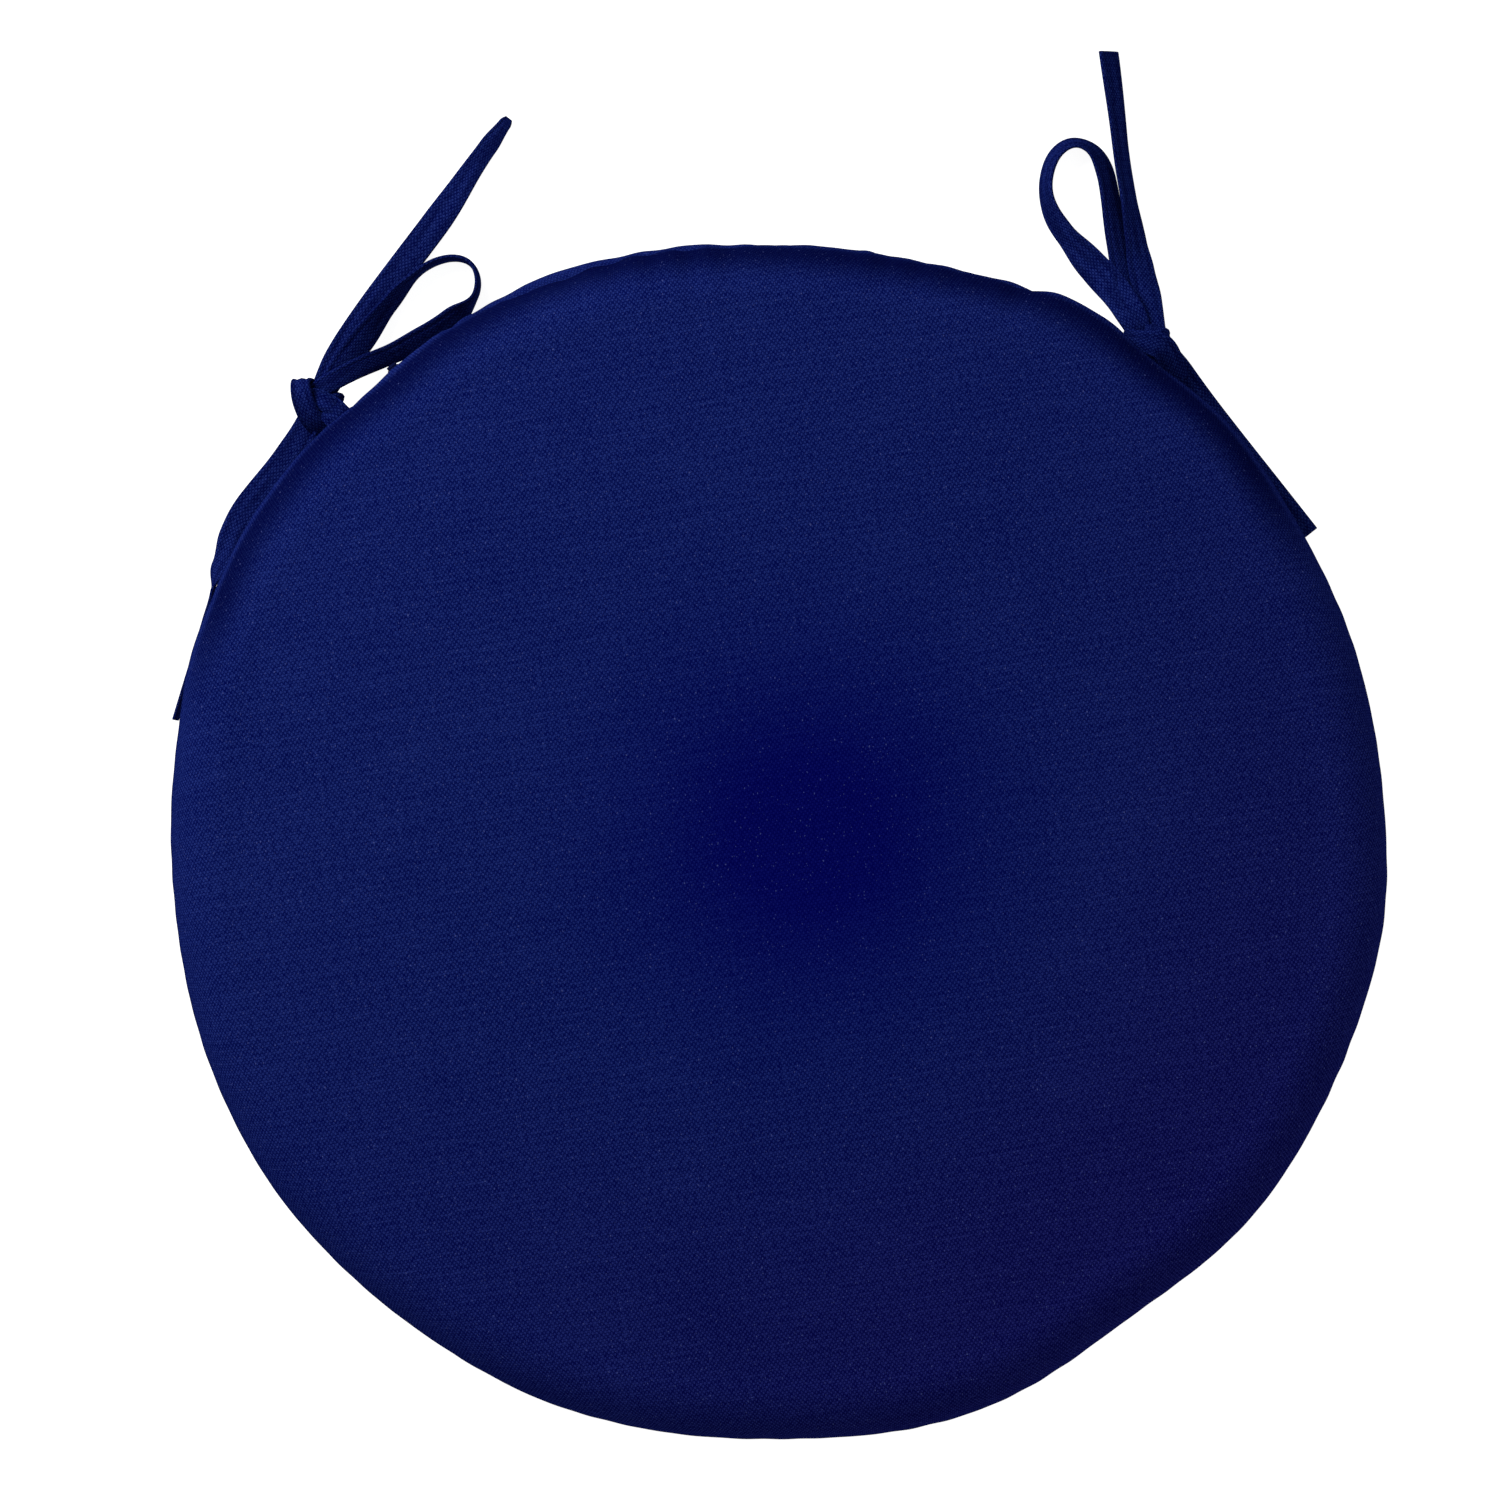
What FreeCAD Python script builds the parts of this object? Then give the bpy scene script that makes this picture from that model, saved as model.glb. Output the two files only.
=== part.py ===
"""Round tie-on seat cushion: a knife-edge cover of two round panels, a foam core between two
layers of batting, a concealed coil zipper in the back of the seam, and two pairs of fabric ties,
each tied in a half bow. Millimetres. The origin is the middle of the flat underside, +Z is up,
and +Y is the back, half way between the ties. The seam is the widest ring of the cushion."""

import FreeCAD, Part
import math
import os

import Sketcher
from FreeCAD import Placement, Rotation, Vector

DRIVING_SIZES = (
    ("seam_radius", 200, "radius of the seam, the widest ring"),
    ("seam_height", 22, "height of the seam, and the radius of the lower rim"),
    ("rim_radius", 22, "radius of the upper rim"),
    ("crown_rise", 6, "height of the middle above the top of the rim"),
    ("cover_thickness", 0.8, "cloth of the two panels"),
    ("seam_allowance", 10, "cloth turned inwards at the seam"),
    ("lining_gap", 1.2, "free space between the cover and the batting"),
    ("layer_gap", 0.2, "free space between the batting and the foam"),
    ("batting_over", 2, "batting above the foam at its edge"),
    ("batting_under", 3, "batting below the foam"),
    ("foam_margin", 14, "from the seam inwards to the side of the foam"),
    ("foam_edge_radius", 10, "rounding of the foam's edges"),
    ("seam_inset", 3, "from the knife edge inwards to the line of stitches"),
    ("seam_thread", 0.5, "thickness of the seam's threads"),
    ("zipper_to_tie", 5.5, "from each end of the zipper to the tie beside it, in degrees"),
    ("zipper_slot", 1.7, "height of the slot between the two folded edges"),
    ("stop_angle", 0.7, "length of an end stop, in degrees round the cushion"),
    ("tape_end_angle", 1.5, "tape past the end of the coils, in degrees"),
    ("coil_inset", 6.6, "from the seam inwards to the middle of the coils"),
    ("coil_depth", 2.4, "radial size of a row of coil"),
    ("coil_height", 2.05, "height of a row of coil"),
    ("coil_parting", 1.2, "space between the two rows, where the slider's post runs"),
    ("tape_thickness", 0.5, "woven tape of the zipper"),
    ("tape_height", 12, "from the seam to the far edge of a tape"),
    ("tape_parting", 2, "space between the two tapes in front of the coils"),
    ("sewn_gap", 0.1, "between a tape and what is sewn to it, the cloth or the thread"),
    ("tape_thread", 0.4, "thickness of the thread that holds a tape"),
    ("tape_thread_rise", 8, "from the seam to that thread"),
    ("slider_length", 8, "slider along the zipper"),
    ("slider_wall", 0.9, "wall of the slider"),
    ("slider_clearance", 0.45, "slider to coil and tape"),
    ("slider_channel", 0.6, "slider to batting"),
    ("slider_end_gap", 0.5, "slider to an end stop, along the zipper"),
    ("post_thickness", 0.5, "post that passes between the rows and out of the slot"),
    ("post_length", 5, "post along the zipper"),
    ("washer_gap", 0.4, "seam to the washer outside it"),
    ("washer_thickness", 0.5, "washer behind the pull"),
    ("washer_radius", 2.2, "washer behind the pull"),
    ("stud_radius", 0.9, "stud that the pull turns on"),
    ("head_radius", 1.8, "head that keeps the pull on its stud"),
    ("head_thickness", 0.8, "head that keeps the pull on its stud"),
    ("pull_thickness", 1.2, "pull tab"),
    ("pull_play", 0.25, "pull to washer and to head"),
    ("pull_eye_clearance", 0.3, "stud to the eye of the pull"),
    ("pull_eye_radius", 2.2, "outside of the eye"),
    ("pull_lobe_radius", 2.6, "outside of the lower end"),
    ("pull_length", 8.8, "eye to lower end, centre to centre"),
    ("tie_angle", 41.5, "from the back to each tie, in degrees"),
    ("tie_reach", 3, "how far the sewn end of a tie stands out of the seam"),
    ("strap_width", 10, "fabric strap"),
    ("strap_thickness", 1.6, "fabric strap, cloth folded to four layers"),
    ("bartack_inset", 5, "from the seam inwards to the bar tack"),
    ("bartack_length", 3, "bar tack along the strap"),
    ("notch_clearance", 0.1, "bar tack to the cloth beside it"),
    ("knot_gap", 0.4, "sewn end to knot"),
    ("knot_width", 12, "knot along the seam"),
    ("knot_depth", 12, "knot away from the seam"),
    ("knot_height", 12, "knot from top to bottom"),
    ("knot_drop", 4.8, "hinge line down to the middle of the knot"),
    ("knot_rounding", 3.5, "edges of the knot"),
)

# Each strap's route: steps from the knot's centre along X and Y, and the height above the base.
# They are drawn for ties at this angle from the back, and turn with a tie that is moved.
ROUTE_ANGLE = 41.5
LEFT_END = (
    (-3.3, 3.7, 18), (4, 15, 13), (15, 31, 4), (29, 47.5, 1), (44, 64, 1), (57, 78.5, 1), (66, 89, 1),
)
LEFT_LOOP = (
    (3.7, 3.3, 18), (8, 10, 16), (17, 21, 9.5), (26, 33, 5.2), (35.5, 42.5, 5.2), (45, 45.5, 5.2),
    (52, 42.5, 5.2), (54.5, 35.5, 5.2), (51.5, 29, 5.2), (44, 24.5, 5.2), (32, 19.5, 5.2),
    (25, 15, 6.5), (13, 10.5, 12), (6, 0.7, 17),
)
LEFT_TAIL = (
    (-3.7, -3.3, 18), (-11, -9, 14.5), (-19, -15.5, 8.5), (-28, -25, 5.2), (-36, -35.5, 5.2),
    (-39.5, -46, 5.2), (-43, -58, 5.2), (-47.5, -70, 5.2), (-51.5, -84, 5.2), (-56.5, -97.5, 5.2),
)
RIGHT_END = (
    (3, 4.5, 18), (2, 17, 13.5), (-2, 37, 4), (-5.5, 58, 1), (-8, 79, 1), (-9.5, 99, 1),
)
RIGHT_LOOP = (
    (-2.5, 3, 18), (-9, 13, 15.5), (-11.5, 24, 9.5), (-13, 37, 5.2), (-14.8, 49, 5.2),
    (-15.2, 57.5, 5.2), (-19, 63, 5.2), (-25.2, 64.5, 5.2), (-31, 62, 5.2), (-34, 56.3, 5.2),
    (-33.7, 48.5, 5.2), (-31, 40, 5.2), (-24.5, 31, 6.5), (-17, 20, 11), (-11, 9, 15),
    (-5.5, -1.5, 17),
)
RIGHT_TAIL = (
    (3.7, -3.3, 18), (8, -13, 12), (15, -26, 4), (22, -40, 1), (32, -55, 1), (41.5, -69, 1),
)
ARC_SHARE = 0.45  # how much of the shorter run beside a corner its arc takes

document = FreeCAD.newDocument("TieOnCushion")


class Size:
    """A length or angle as the sheet's formula and its value, so that a sketch is drawn where the
    formula will hold it."""

    def __init__(self, formula, value):
        self.formula, self.value = formula, value

    def joined(self, other, sign, value):
        return Size(f"({self.formula} {sign} {other.formula})", value)

    def __add__(self, other):
        other = as_size(other)
        return self.joined(other, "+", self.value + other.value)

    def __sub__(self, other):
        other = as_size(other)
        return self.joined(other, "-", self.value - other.value)

    def __mul__(self, other):
        other = as_size(other)
        return self.joined(other, "*", self.value * other.value)

    def __truediv__(self, other):
        other = as_size(other)
        return self.joined(other, "/", self.value / other.value)

    def __neg__(self):
        return Size(f"(0 - {self.formula})", -self.value)


def as_size(number):
    return number if isinstance(number, Size) else Size(repr(number), number)


def root(size):
    return Size(f"sqrt({size.formula})", math.sqrt(size.value))


def sine(angle):
    return Size(f"sin({angle.formula})", math.sin(math.radians(angle.value)))


def cosine(angle):
    return Size(f"cos({angle.formula})", math.cos(math.radians(angle.value)))


def degrees_across(length, radius):
    """The angle that a short length covers at this radius."""
    return Size(f"({length.formula} / {radius.formula} * 180 / pi)",
                math.degrees(length.value / radius.value))


def side_of(radius, height):
    """The other side of a right triangle with this longest side."""
    return root(radius * radius - height * height)


def make_sheet():
    """Writes the driving sizes and returns each as a Size."""
    sheet = document.addObject("Spreadsheet::Sheet", "Sizes")
    found = {}
    for row, (name, value, meaning) in enumerate(DRIVING_SIZES, 1):
        sheet.set(f"A{row}", name)
        sheet.set(f"B{row}", str(value))
        sheet.set(f"C{row}", meaning)
        sheet.setAlias(f"B{row}", name)
        found[name] = Size(f"Sizes.{name}", float(value))
    document.recompute()
    return found


size = make_sheet()

# What several pieces share, worked out from the driving sizes.
seam_radius, seam_height = size["seam_radius"], size["seam_height"]
rim_radius, crown_rise = size["rim_radius"], size["crown_rise"]
cloth, lining_gap = size["cover_thickness"], size["lining_gap"]
rim_centre = seam_radius - rim_radius
under_centre = seam_radius - seam_height
top_height = seam_height + rim_radius + crown_rise
crown_radius = (
    rim_centre * rim_centre + (rim_radius + crown_rise) * (rim_radius + crown_rise)
    - rim_radius * rim_radius
) / (crown_rise * 2)
allowance_end = seam_radius - size["seam_allowance"]
lining = cloth + lining_gap
foam_radius = seam_radius - size["foam_margin"]
foam_top = seam_height + rim_radius - lining - size["batting_over"]
foam_bottom = lining + size["batting_under"]
coil_radius = seam_radius - size["coil_inset"]
coil_half = size["coil_depth"] / 2
coil_near = size["coil_parting"] / 2
coil_far = coil_near + size["coil_height"]
zipper_half_angle = size["tie_angle"] - size["zipper_to_tie"]
opening_half_angle = zipper_half_angle + size["stop_angle"]
tape_half_angle = zipper_half_angle + size["tape_end_angle"]
cavity_half = coil_half + size["slider_clearance"]
cavity_height = coil_far + size["slider_clearance"]
slider_back = cavity_half + size["slider_wall"]
slider_half_height = cavity_height + size["slider_wall"]
park_angle = zipper_half_angle - degrees_across(
    size["slider_length"] / 2 + size["slider_end_gap"], coil_radius
)
washer_face = size["coil_inset"] + size["washer_gap"]
pull_face = washer_face + size["washer_thickness"] + size["pull_play"]
head_face = pull_face + size["pull_thickness"] + size["pull_play"]
strap_half = size["strap_thickness"] / 2
hinge_radius = seam_radius + size["tie_reach"]
hinge_height = seam_height + strap_half
knot_radius = hinge_radius + size["knot_gap"] + size["knot_depth"] / 2
knot_height = hinge_height - size["knot_drop"]


def crown_join(inset):
    """Where the rim's arc meets the crown's, on a surface this far inside the cover's."""
    reach = (rim_radius - inset) / (crown_radius - rim_radius)
    return (
        rim_centre + rim_centre * reach,
        seam_height + (crown_radius - rim_radius - crown_rise) * reach,
    )


def plane_of(body, role):
    return next(item for item in body.Origin.OriginFeatures if item.Role == role)


def new_body(label):
    body = document.addObject("PartDesign::Body", label)
    body.Label = label
    return body


def bind(item, path, value):
    item.setExpression(path, as_size(value).formula)


def place_at_angle(item, angle, radius=0, height=0):
    """Turns a piece made at the back by this angle about the upright axis, this far out."""
    angle, radius, height = as_size(angle), as_size(radius), as_size(height)
    item.Placement = Placement(Vector(0, 0, 0), Rotation(Vector(0, 0, 1), angle.value))
    bind(item, "Placement.Rotation.Angle", angle)
    bind(item, "Placement.Base.x", -(sine(angle) * radius))
    bind(item, "Placement.Base.y", cosine(angle) * radius)
    bind(item, "Placement.Base.z", height)


def new_sketch(body, name, role):
    sketch = body.newObject("Sketcher::SketchObject", name)
    sketch.AttachmentSupport = [(plane_of(body, role), "")]
    sketch.MapMode = "FlatFace"
    return sketch


def hold(sketch, axis, edge, end, value):
    """Holds one coordinate of an edge's end at this distance from the origin."""
    origin, start = -1, 1
    where = Sketcher.Constraint(f"Distance{axis}", origin, start, edge, end, value.value)
    index = sketch.addConstraint(where)
    sketch.setExpression(f"Constraints[{index}]", value.formula)


def arc_between(first, last, radius, bulge):
    """The arc of this radius from first to last: counter-clockwise where bulge is above 0 and
    clockwise below it, and over half a turn where bulge is 2 or -2."""
    chord = last - first
    left = Vector(-chord.y, chord.x, 0).normalize()
    rise = math.sqrt(radius * radius - chord.Length ** 2 / 4)
    towards = {1: 1, -1: -1, 2: -1, -2: 1}[bulge]
    centre = (first + last) * 0.5 + left * (towards * rise)
    circle = Part.Circle(centre, Vector(0, 0, 1), radius)
    start, end = (first, last) if bulge > 0 else (last, first)
    angles = [math.atan2(point.y - centre.y, point.x - centre.x) for point in (start, end)]
    return Part.ArcOfCircle(circle, angles[0], angles[1])


def draw_profile(sketch, corners, arcs):
    """A closed outline. arcs gives, for a corner's number, the radius and the side of the arc that
    leaves it, and every other edge is straight."""
    start, end, upright, level, origin = 1, 2, -2, -1, 0
    points = [Vector(right.value, up.value, 0) for right, up in corners]
    ends = []
    for number, point in enumerate(points):
        following = points[(number + 1) % len(points)]
        if number in arcs:
            radius, bulge = arcs[number]
            edge = sketch.addGeometry(arc_between(point, following, radius.value, bulge))
            index = sketch.addConstraint(Sketcher.Constraint("Radius", edge, radius.value))
            sketch.setExpression(f"Constraints[{index}]", radius.formula)
            ends.append((edge, (start, end) if bulge > 0 else (end, start)))
        else:
            edge = sketch.addGeometry(Part.LineSegment(point, following))
            ends.append((edge, (start, end)))
    for number, (right, up) in enumerate(corners):
        edge, (leaves, _) = ends[number]
        before, (_, arrives) = ends[number - 1]
        sketch.addConstraint(Sketcher.Constraint("Coincident", before, arrives, edge, leaves))
        for axis, value, line in (("X", right, upright), ("Y", up, level)):
            if value.value == origin:
                on_axis = Sketcher.Constraint("PointOnObject", edge, leaves, line)
                sketch.addConstraint(on_axis)
            else:
                hold(sketch, axis, edge, leaves, value)


def profile(body, name, corners, arcs=None, role="YZ_Plane"):
    sketch = new_sketch(body, name, role)
    exact = [(as_size(right), as_size(up)) for right, up in corners]
    draw_profile(sketch, exact, arcs or {})
    return sketch


def turn(body, name, sketch, angle=360, kind="PartDesign::Revolution", axis="V_Axis"):
    """Turns a profile about the sketch's own axis, half of the angle to each side."""
    feature = body.newObject(kind, name)
    feature.Profile = sketch
    feature.ReferenceAxis = (sketch, [axis])
    feature.Midplane = True
    feature.Angle = as_size(angle).value
    bind(feature, "Angle", angle)
    return feature


def pad(body, name, sketch, length):
    feature = body.newObject("PartDesign::Pad", name)
    feature.Profile = sketch
    feature.SideType = "Symmetric"
    bind(feature, "Length", length)
    return feature


def box_corners(near, far, low, high):
    return [(near, low), (far, low), (far, high), (near, high)]


def cut_openings(body):
    """The slot for the zipper, and a notch at each tie where its sewn end passes the seam."""
    cut_in, cut_out = allowance_end - 1, seam_radius + 1
    half_slot = size["zipper_slot"] / 2
    slot = profile(body, f"{body.Name}SlotSketch", box_corners(
        cut_in, cut_out, seam_height - half_slot, seam_height + half_slot))
    turn(body, f"{body.Name}Slot", slot, opening_half_angle * 2, "PartDesign::Groove")
    notch = profile(body, f"{body.Name}NotchSketch", box_corners(
        cut_in, cut_out, seam_height - strap_half, seam_height + strap_half))
    notch.AttachmentOffset = Placement(
        Vector(0, 0, 0), Rotation(Vector(0, 1, 0), size["tie_angle"].value))
    bind(notch, "AttachmentOffset.Rotation.Angle", size["tie_angle"])
    half_width = size["strap_width"] / 2 + size["seam_thread"] + size["notch_clearance"]
    groove = turn(body, f"{body.Name}Notch", notch,
                  degrees_across(half_width * 2, allowance_end), "PartDesign::Groove")
    mirrored = body.newObject("PartDesign::Mirrored", f"{body.Name}Notches")
    mirrored.Originals = [groove]
    mirrored.MirrorPlane = (plane_of(body, "YZ_Plane"), [""])
    body.Tip = mirrored


def make_top_panel():
    """The upper panel, a thin dome that ends in the knife edge and turns in at the seam."""
    body = new_body("cover_top_panel")
    inner_foot = rim_centre + side_of(rim_radius - cloth, cloth)
    sketch = profile(
        body, "TopPanelSketch",
        [
            (seam_radius, seam_height), crown_join(0), (0, top_height), (0, top_height - cloth),
            crown_join(cloth), (inner_foot, seam_height + cloth),
            (allowance_end, seam_height + cloth), (allowance_end, seam_height),
        ],
        {
            0: (rim_radius, 1), 1: (crown_radius, 1),
            3: (crown_radius - cloth, -1), 4: (rim_radius - cloth, -1),
        },
    )
    turn(body, "TopPanelTurn", sketch)
    cut_openings(body)


def make_bottom_panel():
    """The lower panel, flat where it rests and rounded up to the seam."""
    body = new_body("cover_bottom_panel")
    inner_head = under_centre + side_of(seam_height - cloth, cloth)
    sketch = profile(
        body, "BottomPanelSketch",
        [
            (0, 0), (under_centre, 0), (seam_radius, seam_height), (allowance_end, seam_height),
            (allowance_end, seam_height - cloth), (inner_head, seam_height - cloth),
            (under_centre, cloth), (0, cloth),
        ],
        {1: (seam_height, 1), 5: (seam_height - cloth, -1)},
    )
    turn(body, "BottomPanelTurn", sketch)
    cut_openings(body)


def make_foam():
    body = new_body("foam_core")
    edge = size["foam_edge_radius"]
    sketch = profile(
        body, "FoamSketch",
        [
            (0, foam_bottom), (foam_radius - edge, foam_bottom),
            (foam_radius, foam_bottom + edge), (foam_radius, foam_top - edge),
            (foam_radius - edge, foam_top), (0, foam_top),
        ],
        {1: (edge, 1), 3: (edge, 1)},
    )
    turn(body, "FoamTurn", sketch)


def cut_slider_channel(body):
    """The way that the slider runs in, cut from a layer of batting."""
    channel_in = coil_radius - slider_back - size["slider_channel"]
    half = slider_half_height + size["slider_channel"]
    channel = profile(body, f"{body.Name}ChannelSketch", box_corners(
        channel_in, seam_radius, seam_height - half, seam_height + half))
    turn(body, f"{body.Name}Channel", channel, tape_half_angle * 2, "PartDesign::Groove")


def make_batting():
    """A layer over the foam and one under it, which meet at the seam's turned-in cloth."""
    edge, gap = size["foam_edge_radius"], size["layer_gap"]
    wall = foam_radius + gap
    top = new_body("batting_top")
    low = seam_height + lining
    sketch = profile(
        top, "BattingTopSketch",
        [
            (rim_centre + side_of(rim_radius - lining, lining), low), crown_join(lining),
            (0, top_height - lining), (0, foam_top + gap), (foam_radius - edge, foam_top + gap),
            (wall, foam_top - edge), (wall, low),
        ],
        {0: (rim_radius - lining, 1), 1: (crown_radius - lining, 1), 4: (edge + gap, -1)},
    )
    turn(top, "BattingTopTurn", sketch)
    cut_slider_channel(top)
    bottom = new_body("batting_bottom")
    high = seam_height - lining
    sketch = profile(
        bottom, "BattingBottomSketch",
        [
            (0, lining), (under_centre, lining),
            (under_centre + side_of(seam_height - lining, lining), high), (wall, high),
            (wall, foam_bottom + edge), (foam_radius - edge, foam_bottom - gap),
            (0, foam_bottom - gap),
        ],
        {1: (seam_height - lining, 1), 4: (edge + gap, -1)},
    )
    turn(bottom, "BattingBottomTurn", sketch)
    cut_slider_channel(bottom)


def make_thread(label, radius, height, thickness, angle, about):
    """A thread laid round the cushion, over this angle about the back or the front."""
    body = new_body(label)
    sketch = new_sketch(body, f"{label}_sketch", "YZ_Plane")
    centre = Vector(radius.value, height.value, 0)
    circle = sketch.addGeometry(Part.Circle(centre, Vector(0, 0, 1), thickness.value / 2))
    hold(sketch, "X", circle, 3, radius)
    hold(sketch, "Y", circle, 3, height)
    index = sketch.addConstraint(Sketcher.Constraint("Radius", circle, thickness.value / 2))
    sketch.setExpression(f"Constraints[{index}]", (thickness / 2).formula)
    turn(body, f"{label}_turn", sketch, angle)
    place_at_angle(body, about)


def make_seam_threads():
    """The needle's thread lies on the upper turned-in cloth and the bobbin's under the lower."""
    thread = size["seam_thread"]
    radius = seam_radius - size["seam_inset"]
    angle = as_size(360) - (tape_half_angle + 1) * 2
    front = 180
    make_thread("seam_needle_thread", radius, seam_height + cloth + thread / 2, thread, angle, front)
    make_thread("seam_bobbin_thread", radius, seam_height - cloth - thread / 2, thread, angle, front)


def make_tape(label, side, sheet_radius, sheet_centre):
    """A tape from the front of its coil out to the fold and on along the inside of the panel.
    side is 1 above the seam and -1 below it."""
    body = new_body(label)
    outer = sheet_radius - cloth - size["sewn_gap"]
    inner = outer - size["tape_thickness"]
    near = size["tape_parting"] / 2
    bend = near + size["tape_thickness"]
    far = size["tape_height"]
    coil_front = coil_radius + coil_half

    def level(offset):
        return seam_height + offset * side

    sketch = profile(
        body, f"{label}_sketch",
        [
            (coil_front, level(near)), (sheet_centre + side_of(outer, near), level(near)),
            (sheet_centre + side_of(outer, far), level(far)),
            (sheet_centre + side_of(inner, far), level(far)),
            (sheet_centre + side_of(inner, bend), level(bend)), (coil_front, level(bend)),
        ],
        {1: (outer, side), 3: (inner, -side)},
    )
    turn(body, f"{label}_turn", sketch, tape_half_angle * 2)


def make_zipper_tapes():
    """Two tapes, each with a row of coil on it and a line of thread that sews it to its panel."""
    for name, side, sheet_radius, sheet_centre in (
        ("upper", 1, rim_radius, rim_centre), ("lower", -1, seam_height, under_centre)
    ):
        make_tape(f"zipper_tape_{name}", side, sheet_radius, sheet_centre)
        coil = new_body(f"zipper_coil_{name}")
        sketch = profile(coil, f"zipper_coil_{name}_sketch", box_corners(
            coil_radius - coil_half, coil_radius + coil_half,
            seam_height + coil_near * side, seam_height + coil_far * side))
        turn(coil, f"zipper_coil_{name}_turn", sketch, zipper_half_angle * 2)
        thread, rise = size["tape_thread"], size["tape_thread_rise"]
        face = sheet_radius - cloth - size["sewn_gap"] * 2 - size["tape_thickness"] - thread / 2
        make_thread(f"zipper_stitches_{name}", sheet_centre + side_of(face, rise),
                    seam_height + rise * side, thread, zipper_half_angle * 2, 0)


def make_zipper_stops():
    """A stop over both rows at each end of the zipper."""
    beyond = zipper_half_angle + size["stop_angle"] / 2
    for name, angle in (("left", beyond), ("right", -beyond)):
        body = new_body(f"zipper_stop_{name}")
        sketch = profile(body, f"zipper_stop_{name}_sketch", box_corners(
            coil_radius - coil_half, coil_radius + coil_half,
            seam_height - coil_far, seam_height + coil_far))
        turn(body, f"zipper_stop_{name}_turn", sketch, size["stop_angle"])
        place_at_angle(body, angle)


def make_slider():
    """The slider clasps both rows from inside. A thin post runs between them and out of the slot,
    to the washer, stud and head that hold the pull."""
    body = new_body("zipper_slider")
    lip = size["tape_parting"] / 2 + size["tape_thickness"] + size["slider_clearance"]
    clasp = profile(
        body, "SliderClaspSketch",
        [
            (-slider_back, -slider_half_height), (slider_back, -slider_half_height),
            (slider_back, -lip), (cavity_half, -lip), (cavity_half, -cavity_height),
            (-cavity_half, -cavity_height), (-cavity_half, cavity_height),
            (cavity_half, cavity_height), (cavity_half, lip), (slider_back, lip),
            (slider_back, slider_half_height), (-slider_back, slider_half_height),
        ],
    )
    pad(body, "SliderClasp", clasp, size["slider_length"])
    root_in_wall = cavity_half + size["slider_wall"] / 2
    post_half = size["post_thickness"] / 2
    washer_middle = washer_face + size["washer_thickness"] / 2
    post = profile(body, "SliderPostSketch", box_corners(
        -root_in_wall, washer_middle, -post_half, post_half))
    pad(body, "SliderPost", post, size["post_length"])
    stud, washer, head = size["stud_radius"], size["washer_radius"], size["head_radius"]
    washer_back = washer_face + size["washer_thickness"]
    rivet = profile(body, "SliderStudSketch", [
        (washer_face, 0), (head_face + size["head_thickness"], 0),
        (head_face + size["head_thickness"], head), (head_face, head), (head_face, stud),
        (washer_back, stud), (washer_back, washer), (washer_face, washer),
    ])
    turn(body, "SliderStud", rivet, 360, axis="H_Axis")
    place_at_angle(body, park_angle, coil_radius, seam_height)


def make_pull():
    """A flat teardrop that hangs from its eye."""
    body = new_body("zipper_pull")
    eye, lobe, length = size["pull_eye_radius"], size["pull_lobe_radius"], size["pull_length"]
    lean = (lobe - eye) / length  # the sides are the two circles' common tangents
    upright = side_of(as_size(1), lean)
    outline = profile(
        body, "PullSketch",
        [
            (eye * upright, eye * lean), (-(eye * upright), eye * lean),
            (-(lobe * upright), lobe * lean - length), (lobe * upright, lobe * lean - length),
        ],
        {0: (eye, 1), 2: (lobe, 2)},
        role="XZ_Plane",
    )
    hole = outline.addGeometry(Part.Circle(Vector(0, 0, 0), Vector(0, 0, 1), 1))
    outline.addConstraint(Sketcher.Constraint("Coincident", hole, 3, -1, 1))
    bore = size["stud_radius"] + size["pull_eye_clearance"]
    index = outline.addConstraint(Sketcher.Constraint("Radius", hole, bore.value))
    outline.setExpression(f"Constraints[{index}]", bore.formula)
    pad(body, "PullTab", outline, size["pull_thickness"])
    pivot = coil_radius + pull_face + size["pull_thickness"] / 2
    place_at_angle(body, park_angle, pivot, seam_height)


def make_tie_anchor(name, angle):
    """The sewn end of a tie, and the bar tack that wraps it inside the seam."""
    end = new_body(f"tie_{name}_sewn_end")
    half_width = size["strap_width"] / 2
    sketch = profile(end, f"tie_{name}_end_sketch", box_corners(
        -half_width, half_width, allowance_end, hinge_radius), role="XY_Plane")
    pad(end, f"tie_{name}_end_pad", sketch, size["strap_thickness"])
    place_at_angle(end, angle, 0, seam_height)
    tack = new_body(f"tie_{name}_bartack")
    thread = size["seam_thread"]
    far = seam_radius - size["bartack_inset"]
    near = far - size["bartack_length"]
    sketch = profile(tack, f"tie_{name}_tack_sketch", box_corners(
        -half_width - thread, half_width + thread, near, far), role="XY_Plane")
    pad(tack, f"tie_{name}_tack_pad", sketch, size["strap_thickness"] + thread * 2)
    inside = profile(tack, f"tie_{name}_inside_sketch", box_corners(
        -half_width, half_width, near - 1, far + 1), role="XY_Plane")
    pocket = tack.newObject("PartDesign::Pocket", f"tie_{name}_inside")
    pocket.Profile = inside
    pocket.SideType = "Symmetric"
    bind(pocket, "Length", size["strap_thickness"])
    place_at_angle(tack, angle, 0, seam_height)


def make_knot(name, angle):
    body = new_body(f"tie_{name}_knot")
    half_width, half_depth = size["knot_width"] / 2, size["knot_depth"] / 2
    sketch = profile(body, f"tie_{name}_knot_sketch", box_corners(
        -half_width, half_width, -half_depth, half_depth), role="XY_Plane")
    block = pad(body, f"tie_{name}_knot_pad", sketch, size["knot_height"])
    document.recompute()
    rounding = body.newObject("PartDesign::Fillet", f"tie_{name}_knot_rounding")
    rounding.Base = (block, [""])
    rounding.UseAllEdges = True
    bind(rounding, "Radius", size["knot_rounding"])
    place_at_angle(body, angle, knot_radius, knot_height)


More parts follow.
